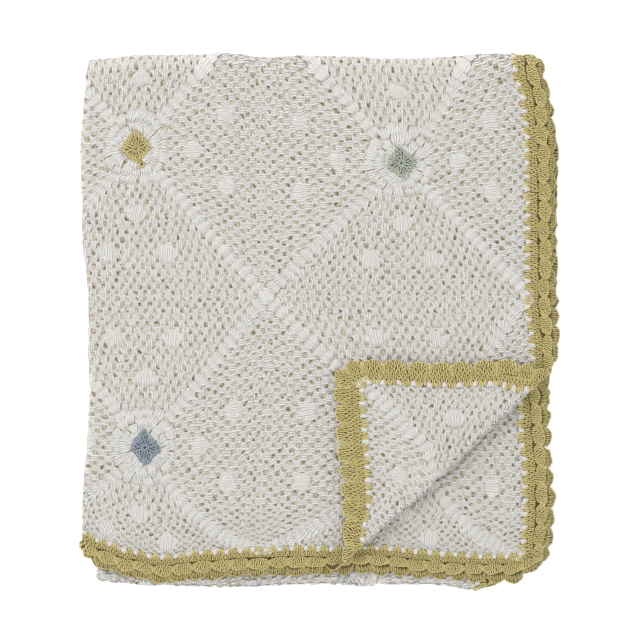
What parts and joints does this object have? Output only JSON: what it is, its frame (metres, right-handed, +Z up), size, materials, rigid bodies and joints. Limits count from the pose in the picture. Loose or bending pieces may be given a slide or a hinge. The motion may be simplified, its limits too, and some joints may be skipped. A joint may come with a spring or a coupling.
{
  "type": "crochet throw blanket",
  "caption": "Folded white cotton crochet throw of joined square motifs with a scalloped mustard edging, one corner turned back.",
  "frame": {"origin": "on the surface that the folded throw lies on, under the middle of its bounding box", "axes": "+Z up, +Y towards the top fold and +X towards the free side edges, with the half fold at -X and the free front end at -Y"},
  "size_m": [0.5274, 0.5888, 0.0504],
  "materials": {
    "white_cotton": "matt off-white plied cotton yarn, crocheted in openwork",
    "mustard_cotton": "matt mustard plied cotton yarn, crocheted in shells",
    "yellow_cotton": "matt yellow plied cotton yarn, small centre motif",
    "green_cotton": "matt sage green plied cotton yarn, small centre motif",
    "blue_cotton": "matt dusty blue plied cotton yarn, small centre motif"
  },
  "bodies": {
    "root": {"cloth": "white_cotton", "shell_edging": "mustard_cotton"}
  },
  "joints": []
}
